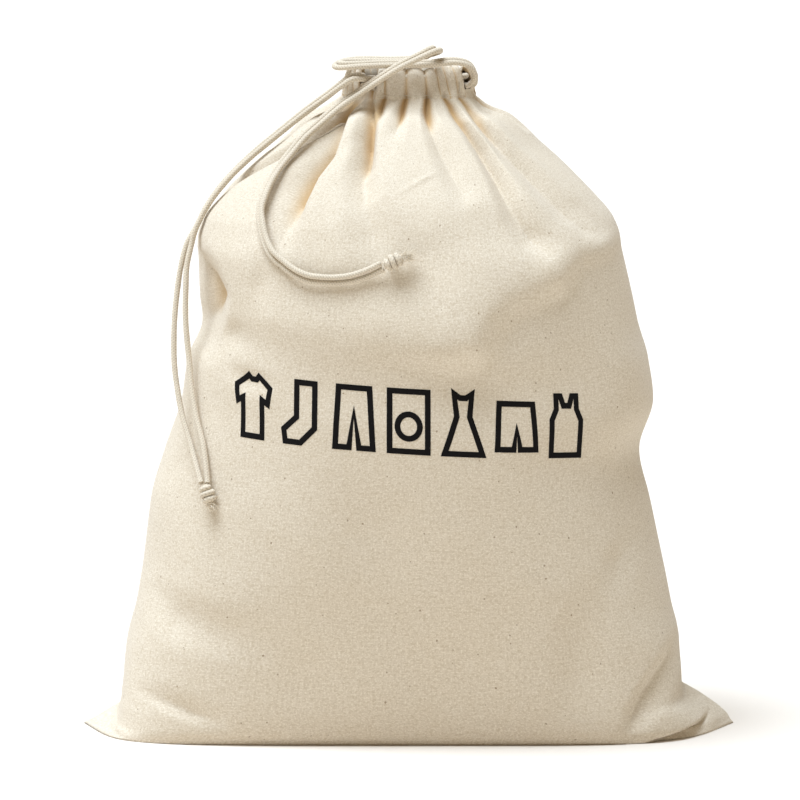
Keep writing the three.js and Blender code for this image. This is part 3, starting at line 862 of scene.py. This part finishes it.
def undulation(points, share):
    """Slow uneven waves of the filled cloth."""
    rng = np.random.default_rng(WAVES_SEED)
    total = np.zeros(points.shape[:2])
    around = share[None] * 2 * np.pi
    for _ in range(WAVES):
        turns = rng.integers(3, 15)
        pitch = rng.uniform(-1, 1) * 2 * np.pi / rng.uniform(0.06, 0.30)
        size = rng.uniform(0.3, 1.0) / math.sqrt(turns)
        total += size * np.sin(turns * around + pitch * points[..., 2] + rng.uniform(0, 6.3))
    return WAVE_HEIGHT * total * smoothstep(0.0, 0.04, points[..., 2])


def folded(points):
    """The wall with its folds pressed in. Returns it and how deep each point lies in a fold."""
    share = np.linspace(0, 1, 2 * PANEL_COLUMNS + 1)
    normal = outward(points)
    normal[:, 0] = normal[:, -1] = unit(normal[:, 0] + normal[:, -1])
    normal[..., 2] *= 1 - smoothstep(NECK_FADE, CASING_FOOT, points[..., 2])
    normal = unit(normal)
    front = [fold_depth(points[..., 0], points[..., 2], *fold) for fold in FRONT_FOLDS]
    facing = smoothstep(-0.03, 0.012, -points[..., 1])
    depth = gathered(front) * facing + back_folds(points, share)
    moved = points - normal * (depth + undulation(points, share))[..., None]
    return moved, depth


def neighbours(values):
    """The mean of the four values round each value of a grid."""
    padded = np.pad(values, 1, mode="edge")
    near = padded[:-2, 1:-1] + padded[2:, 1:-1] + padded[1:-1, :-2] + padded[1:-1, 2:]
    return near / 4


def smoothed(values, passes):
    """Spreads a grid's values to their neighbours without lowering any of them."""
    spread = values
    for _ in range(passes):
        spread = np.maximum(values, neighbours(spread))
    return spread


def averaged(values, passes):
    """Evens out a grid's values."""
    for _ in range(passes):
        values = neighbours(values)
    return values


def pressed(points, lines):
    """Presses the cloth in under the cords that lie on it."""
    route = np.vstack(lines)
    tree = KDTree(len(route))
    for i, point in enumerate(route):
        tree.insert(point, i)
    tree.balance()
    normal = outward(points)
    push = np.zeros(points.shape[:2])
    reach = CORD / 2 + CORD_CLEARANCE
    for row, column in zip(*np.nonzero(points[..., 2] > route[:, 2].min() - 0.02)):
        point = points[row, column]
        near, _, far = tree.find(point)
        if far > PRESS_RANGE:
            continue
        out = float(np.dot(point - np.array(near), normal[row, column]))
        beside = max(far * far - out * out, 0)
        if beside < reach * reach:
            push[row, column] = max(out + math.sqrt(reach * reach - beside), 0)
    return points - normal * smoothed(push, PRESS_SPREAD)[..., None]


def make_panels(rows, depth, material):
    """The front and back panels, each one sheet from the bottom seam to the casings."""
    steps = np.linalg.norm(np.diff(rows, axis=0), axis=2).mean(axis=1)
    lift = np.concatenate([[0], np.cumsum(steps)])
    around = np.linspace(0, 2 * FLAT_WIDTH, 2 * PANEL_COLUMNS + 1)
    uv = np.stack(np.broadcast_arrays(around[None], lift[:, None]), axis=-1)
    near_neck = smoothstep(0.50, CASING_FOOT, rows[..., 2])
    deep = DEEP_FOLD * (1 - 0.55 * near_neck)
    # Painted shade: more the deeper a fold, and some more near the neck.
    fold_shade = np.clip(averaged(depth, 5) / deep + 0.22 * near_neck**2, 0, 1)
    faces = grid_faces(len(rows), PANEL_COLUMNS + 1)
    halves = {"front": slice(0, PANEL_COLUMNS + 1), "back": slice(PANEL_COLUMNS, None)}
    for side, half in halves.items():
        points, places = rows[:, half].reshape(-1, 3), uv[:, half].reshape(-1, 2)
        cloth = mesh_object(f"{side}_cloth", points, faces, material, places)
        add_painted_shade(cloth, fold_shade[:, half])
        put(cloth, f"{side}_panel", side)


# ---------------- casings

# The section of a casing, as (inset from the neck's outline, height share): up the outside, over
# the rim and down the inside to the stitching.
CASING_SECTION = [
    (0.0, 0.0), (0.0, 0.12), (0.0004, 0.35), (0.0012, 0.6), (0.0028, 0.82), (0.0050, 0.96),
    (0.0072, 1.0), (0.0094, 0.95), (0.0112, 0.8), (0.0120, 0.55), (0.0117, 0.33), (0.0095, 0.14),
    (0.0055, 0.04), (0.0022, 0.01),
]
SECTION_HEIGHT = 0.03  # a whole share while the section's curve is drawn
SECTION_STEP = 0.0011
CASING_CLOTH = 0.0008
CASING_STEP = 0.6  # degrees
FRONT_VALLEYS = (-120, -112, -92, -73, -60.5, -51, -40, -30)
BACK_VALLEYS = (
    0, 9, 21, 31, 44, 53, 66, 78, 87, 99, 109, 122, 131, 143, 156, 165, 178, 191, 201, 211, 220
)
STITCH = 0.0028  # from one stitch to the next
STITCH_THREAD = 0.00035
STITCH_STEP = 0.0004  # along the thread
STITCH_RISE = 0.0025  # above the casings' foot
TACK_TURNS = (1.0, 0.4, -1.0, -0.4)  # of the zigzag, in turn
TACK_REACH = 0.0010
TACK_POINTS = 49
TACK_THREAD = 0.00032


def crest(degrees, valleys):
    """1 on the crown of each puff between two valleys and 0 in the valleys, and the puffs' widths."""
    valleys = np.array(valleys, float)
    i = np.clip(np.searchsorted(valleys, degrees, side="right") - 1, 0, len(valleys) - 2)
    width = valleys[i + 1] - valleys[i]
    return np.sin(np.pi * np.clip((degrees - valleys[i]) / width, 0, 1)) ** 0.5, width


def foot_insets(top_row):
    """The panels' top edge as insets from the neck's outline, by angle."""
    angles = np.arange(0, 360, 0.25)
    ring = neck_point(angles, np.zeros(len(angles)))
    gap = top_row[:, None, :2] - ring[None]
    nearest = np.argmin(np.linalg.norm(gap, axis=2), axis=1)
    at = ring[nearest]
    inset = -np.sum((top_row[:, :2] - at) * unit(at / NECK_SQUARES), axis=1)
    order = np.argsort(angles[nearest])
    place = angles[nearest][order]
    return np.concatenate([place - 360, place, place + 360]), np.tile(inset[order], 3)


def casing_surface(degrees, valleys, foot):
    """The cloth's outer face round a casing: for each angle, the points down its section."""
    points = [(inset, 0, share * SECTION_HEIGHT) for inset, share in CASING_SECTION]
    curve = centripetal(points, SECTION_STEP)
    inset, share = curve[:, 0], np.clip(curve[:, 2] / SECTION_HEIGHT, 0, 1)
    puff, gap = crest(degrees, valleys)
    size = np.clip(gap / 16, 0.5, 1.1)[:, None]
    low = 1 - puff[:, None]
    on_rim = smoothstep(0.55, 1.0, share)[None]
    outside = 1 - smoothstep(0.0062, 0.0105, inset)[None]
    dip = low * size * (0.0036 + 0.0020 * on_rim) * outside - 0.0006 * puff[:, None] * outside
    follow = (1 - smoothstep(0.0, 0.45, share))[None] * outside
    start = np.interp(degrees, *foot)[:, None]
    final = (inset[None] + dip) * (1 - follow) + (inset[None] + start) * follow
    slump = low * size * 0.0042 * on_rim
    lean = 0.0012 * np.sin(np.radians(degrees) * 7 + 1)[:, None] * on_rim
    z = CASING_FOOT + share[None] * (CASING_HEAD - CASING_FOOT) - slump + lean
    angle = np.repeat(degrees[:, None], len(share), axis=1)
    final = final + neck_lean(angle, z)
    flat = neck_point(angle.ravel(), final.ravel()).reshape(*angle.shape, 2)
    return np.dstack([flat, z])


def make_casing(side, arc, valleys, foot, material):
    """A casing: cloth folded over the cords, closed along its foot and open at both ends."""
    degrees = np.arange(arc[0], arc[1] + CASING_STEP / 2, CASING_STEP)
    skin = casing_surface(degrees, valleys, foot)
    normal = unit(np.cross(np.gradient(skin, axis=0), np.gradient(skin, axis=1)))
    inner = skin - normal * CASING_CLOTH
    rows = np.concatenate([skin, inner[:, ::-1]], axis=1)
    count, around = rows.shape[:2]
    faces = grid_faces(count, around, closed=True)[:, ::-1].tolist()
    last = (count - 1) * around
    for k in range(skin.shape[1] - 1):
        pair = (k, k + 1, around - 2 - k, around - 1 - k)
        faces += [pair, [last + v for v in pair[::-1]]]
    fall = run_along(skin[0])
    fall = np.concatenate([fall, fall[::-1]])
    uv = np.stack(np.broadcast_arrays(run_along(skin[:, 0])[:, None] * 2, fall[None]), axis=-1)
    piece = mesh_object(f"{side}_hem", rows.reshape(-1, 3), faces, material, uv.reshape(-1, 2))
    puff, _ = crest(degrees, valleys)
    # Painted shade on the casing, darker in the valleys between the puffs.
    add_painted_shade(piece, np.repeat(0.30 + (1 - puff)[:, None] * 0.65, around, axis=1))
    put(piece, f"{side}_casing", side)
    return degrees, skin


def make_casing_stitch(side, skin, material):
    """The row of stitches along a casing's foot: the thread dips into the cloth between stitches."""
    outside = skin[0, : skin.shape[1] // 2, 2]
    level = np.argmin(np.abs(outside - CASING_FOOT - STITCH_RISE))
    line = resampled(skin[2:-2, level], STITCH_STEP)
    normal = np.column_stack([unit(line[:, :2] / NECK_SQUARES), np.zeros(len(line))])
    run = np.arange(len(line)) * STITCH_STEP
    height = 0.0006 * np.clip(np.abs(np.sin(np.pi * run / STITCH)) - 0.35, -0.35, 0.5)
    thread = line + normal * height[:, None]
    piece = tube(f"{side}_hem_stitches", thread, STITCH_THREAD, material)
    put(piece, f"{side}_casing_stitch", side)


def make_bar_tack(side, degrees, skin, material):
    """A dense zigzag of thread beside a cord exit."""
    low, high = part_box(f"{side}_bar_tack")
    centre = (low + high) / 2
    angle = math.degrees(math.atan2(centre.y / NECK_Y, centre.x / NECK_X))
    column = int(np.argmin(np.abs(degrees - angle)))
    outside = skin[column, : skin.shape[1] // 2]
    outside = outside[np.argsort(outside[:, 2])]
    heights = np.linspace(low.z, high.z, TACK_POINTS)
    base = np.stack([np.interp(heights, outside[:, 2], outside[:, k]) for k in range(3)], axis=1)
    base[:, 2] = heights
    normal = unit(np.append(base[TACK_POINTS // 2, :2] / NECK_SQUARES, 0.0))
    aside = np.cross(normal, (0.0, 0.0, 1.0))
    swing = np.array(TACK_TURNS)[np.arange(TACK_POINTS) % len(TACK_TURNS)] * TACK_REACH
    line = base + normal * 0.0005 + swing[:, None] * aside
    piece = tube(f"{side}_tack_stitches", line, TACK_THREAD, material)
    put(piece, f"{side}_bar_tack")


# ---------------- seams inside

SEAM_ALLOWANCE = 0.010
SEAM_CLOTH = 0.0012
SEAM_GAP = 0.0008  # from the panels' own edges
BOTTOM_SEAM_REACH = (0.246, 0.236)
SEAM_START = 22  # row of the wall where the side seams begin, above the turned-up corners
SEAM_END = 4  # rows below the casings


def ribbon(name, edge, inward, flat, node, material):
    """The turned-in edges of two panels: a thin strip that stands in from a seam."""
    near = edge + inward * SEAM_GAP
    far = edge + inward * SEAM_ALLOWANCE
    half = flat * SEAM_CLOTH / 2
    rows = np.stack([near - half, far - half, far + half, near + half], axis=1)
    side = np.array((0, SEAM_ALLOWANCE, SEAM_ALLOWANCE + SEAM_CLOTH, 2 * SEAM_ALLOWANCE))
    uv = np.stack(np.broadcast_arrays(side[None], run_along(edge)[:, None]), axis=-1).reshape(-1, 2)
    faces = capped_faces(len(edge), 4)
    piece = mesh_object(name, rows.reshape(-1, 3), faces, material, uv, smooth=False)
    put(piece, node)


def make_seams(rows, material):
    """The seams' edges inside the bag, at both sides and along the bottom."""
    part = slice(FLOOR_ROWS + SEAM_START, -SEAM_END - LIP_ROWS)
    wall, normal = rows[part], outward(rows)[part]
    for side, column in (("left", 0), ("right", PANEL_COLUMNS)):
        inward = unit(-normal[:, column] * (1, 1, 0))
        flat = unit(np.cross(inward, np.gradient(wall[:, column], axis=0)))
        ribbon(f"{side}_seam_edges", wall[:, column], inward, flat, f"{side}_side_seam", material)
    edge = rows[0, : PANEL_COLUMNS + 1]
    edge = edge[(edge[:, 0] > -BOTTOM_SEAM_REACH[0]) & (edge[:, 0] < BOTTOM_SEAM_REACH[1])]
    up = np.tile((0.0, 0.0, 1.0), (len(edge), 1))
    back = np.tile((0.0, 1.0, 0.0), (len(edge), 1))
    ribbon("bottom_seam_edges", edge, up, back, "bottom_seam", material)


# ---------------- print


def drum(count=28):
    """A round door, as a closed outline."""
    angle = np.arange(count) / count * 2 * np.pi
    return np.stack([0.5 + 0.27 * np.cos(angle), 0.42 + 0.27 * 0.75 * np.sin(angle)], axis=1)


def mirrored(*half):
    """An outline that is the same on both sides, from the points of its left half."""
    return [*half, *[(1 - x, y) for x, y in half[::-1]]]


# Seven plain pictograms of washing, each as closed outlines in a box 1 wide and 1 high.
SHIRT = [mirrored((0.42, 0.94), (0.34, 1), (0, 0.82), (0.06, 0.56), (0.22, 0.62), (0.22, 0))]
SOCK = [[(0.40, 1), (0.40, 0.42), (0.06, 0.20), (0.10, 0), (0.50, 0), (0.86, 0.26), (0.86, 1)]]
TROUSERS = [[(0.12, 1), (0.04, 0), (0.38, 0), (0.50, 0.60), (0.62, 0), (0.96, 0), (0.88, 1)]]
MACHINE = [mirrored((0.04, 1), (0.04, 0)), drum()]
DRESS = [mirrored((0.42, 0.93), (0.28, 1), (0.34, 0.62), (0.04, 0))]
VEST = [mirrored((0.42, 0.84), (0.34, 1), (0.22, 1), (0.22, 0.78), (0.10, 0.60), (0.10, 0))]
SHORTS = [[(0.08, 0.86), (0, 0.10), (0.42, 0.10), (0.50, 0.44), (0.58, 0.10), (1, 0.10), (0.92, 0.86)]]
PICTOGRAMS = (SHIRT, SOCK, TROUSERS, MACHINE, DRESS, SHORTS, VEST)
MOTIF_SIZE = np.array((0.036, 0.052))
MOTIF_PITCH = 0.0478
MOTIF_STROKE = 0.0050
MOTIF_STEP = 0.0016  # along a stroke
MOTIF_ACROSS = 3  # strips side by side across a stroke
MOTIF_MIDDLE = 0.291  # height of the row's middle
MOTIF_TILT = -0.06
MOTIF_LIFT = 0.00025


def stroke(outline):
    """A closed outline as a strip: its two edges, mitred at the corners, in small steps."""
    points = np.array(outline) * MOTIF_SIZE - MOTIF_SIZE / 2
    ahead = unit(np.roll(points, -1, axis=0) - points)
    left = np.stack([-ahead[:, 1], ahead[:, 0]], axis=1)
    mitre = unit(left + np.roll(left, 1, axis=0))
    mitre /= np.maximum(np.sum(mitre * left, axis=1), 0.45)[:, None]
    both = np.stack([points - mitre * MOTIF_STROKE / 2, points + mitre * MOTIF_STROKE / 2], axis=1)
    edges = []
    for k, after in enumerate(np.roll(both, -1, axis=0)):
        length = np.linalg.norm(points[(k + 1) % len(points)] - points[k])
        share = np.linspace(0, 1, max(2, round(length / MOTIF_STEP)), endpoint=False)
        edges.append(both[k] + (after - both[k]) * share[:, None, None])
    return np.concatenate(edges)


def on_front(along, up, points):
    """Places on the front cloth: along it from x = 0, and at a height."""
    walls = points[FLOOR_ROWS:-LIP_ROWS, : PANEL_COLUMNS + 1]
    heights = walls[..., 2].mean(axis=1)
    spans = np.linalg.norm(np.diff(walls, axis=1), axis=2).sum(axis=1)
    middles = np.array([np.interp(0.0, row[:, 0], np.arange(len(row))) for row in walls])
    row = np.interp(up, heights, np.arange(len(heights)))
    column = np.interp(up, heights, middles) + PANEL_COLUMNS * along / np.interp(up, heights, spans)
    r, c = row.astype(int), column.astype(int)
    fr, fc = (row - r)[..., None], (column - c)[..., None]
    low = walls[r, c] * (1 - fc) + walls[r, c + 1] * fc
    high = walls[r + 1, c] * (1 - fc) + walls[r + 1, c + 1] * fc
    return low * (1 - fr) + high * fr + outward(walls)[r, c] * MOTIF_LIFT


def make_print(points, material):
    """The row of pictograms, as ink that lies on the front cloth."""
    vertices, faces, uv = [], [], []
    outlines = [(k, outline) for k, motif in enumerate(PICTOGRAMS) for outline in motif]
    for k, outline in outlines:
        edges = stroke(outline)
        share = np.linspace(0, 1, MOTIF_ACROSS + 1)[None, :, None]
        strip = edges[:, :1] * (1 - share) + edges[:, 1:] * share
        along = strip[..., 0] + (k - len(PICTOGRAMS) // 2) * MOTIF_PITCH
        up = MOTIF_MIDDLE + strip[..., 1] + MOTIF_TILT * along
        base = sum(len(v) for v in vertices)
        final = (len(edges) - 1) * (MOTIF_ACROSS + 1)
        closing = [(final + i, final + i + 1, i + 1, i) for i in range(MOTIF_ACROSS)]
        vertices.append(on_front(along, up, points).reshape(-1, 3))
        faces.append(np.vstack([grid_faces(len(edges), MOTIF_ACROSS + 1), closing]) + base)
        uv.append(np.stack([along, up], axis=-1).reshape(-1, 2))
    piece = mesh_object("printed_motif", np.vstack(vertices), np.vstack(faces), material, np.vstack(uv))
    piece.data.flip_normals()
    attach(piece, "bag")


# ---------------- stage

FLOOR_REACH = 60.0
SUN_FROM = (-0.26, -0.10, 0.96)
SUN_STRENGTH = 5.5
SUN_ANGLE = 40
SUN_COLOUR = (0.745, 0.858, 1.0)
WORLD_COLOUR = (1.0, 0.86, 0.64, 1)
WORLD_STRENGTH = 0.33
AIM = (-0.0075, 0, 0.288)
CAMERA_DISTANCE = 9.777
CAMERA_ELEVATION = 8
LENS = 500
SENSOR = 36


def make_floor():
    corners = [(FLOOR_REACH * x, FLOOR_REACH * y, 0) for x, y in ((-1, -1), (1, -1), (1, 1), (-1, 1))]
    floor = mesh_object("floor", corners, [(0, 1, 2, 3)], floor_material(), smooth=False)


def aimed(name, data, back):
    """A lamp or camera that looks against a direction."""
    holder = bpy.data.objects.new(name, data)
    holder.rotation_euler = back.to_track_quat("Z", "Y").to_euler()
    bpy.context.scene.collection.objects.link(holder)
    return holder


def make_light():
    sun = bpy.data.lights.new("sun", "SUN")
    sun.energy = SUN_STRENGTH
    sun.angle = math.radians(SUN_ANGLE)
    sun.color = SUN_COLOUR
    aimed("sun", sun, Vector(SUN_FROM))
    world = bpy.data.worlds.new("studio")
    world.use_nodes = True
    background = world.node_tree.nodes["Background"]
    background.inputs["Color"].default_value = WORLD_COLOUR
    background.inputs["Strength"].default_value = WORLD_STRENGTH
    bpy.context.scene.world = world


def make_camera():
    angle = math.radians(CAMERA_ELEVATION)
    back = Vector((0, -math.cos(angle), math.sin(angle)))
    camera = bpy.data.cameras.new("camera")
    camera.lens = LENS
    camera.sensor_width = SENSOR
    holder = aimed("camera", camera, back)
    holder.location = Vector(AIM) + back * CAMERA_DISTANCE
    bpy.context.scene.camera = holder


def main():
    cloth, cord, thread = calico(), cord_material(), thread_material()
    lines = make_pulls(cord, fibre_material())
    make_runs(cord)
    walls, depth = folded(plain_cloth())
    walls[0, :, 2] = FLOOR_GAP
    walls[..., 2] = np.maximum(walls[..., 2], FLOOR_GAP)
    walls = pressed(walls, lines)
    rows = np.vstack([floor_cloth(walls[0]), walls, exit_lip(walls[-1])])
    depth = np.pad(depth, ((FLOOR_ROWS, LIP_ROWS), (0, 0)), mode="edge")
    depth[:FLOOR_ROWS] = 0
    make_panels(rows, depth, cloth)
    foot = foot_insets(walls[-1])
    front = make_casing("front", (LEFT_EXIT[1], RIGHT_EXIT[0]), FRONT_VALLEYS, foot, cloth)
    back = make_casing("back", BACK_ARC, BACK_VALLEYS, foot, cloth)
    make_casing_stitch("front", front[1], thread)
    make_casing_stitch("back", back[1], thread)
    make_bar_tack("left", *front, thread)
    make_bar_tack("right", *front, thread)
    make_seams(rows, cloth)
    make_print(rows, ink_material())
    make_floor()
    make_light()
    make_camera()
    bpy.context.scene.view_settings.view_transform = "Standard"


main()
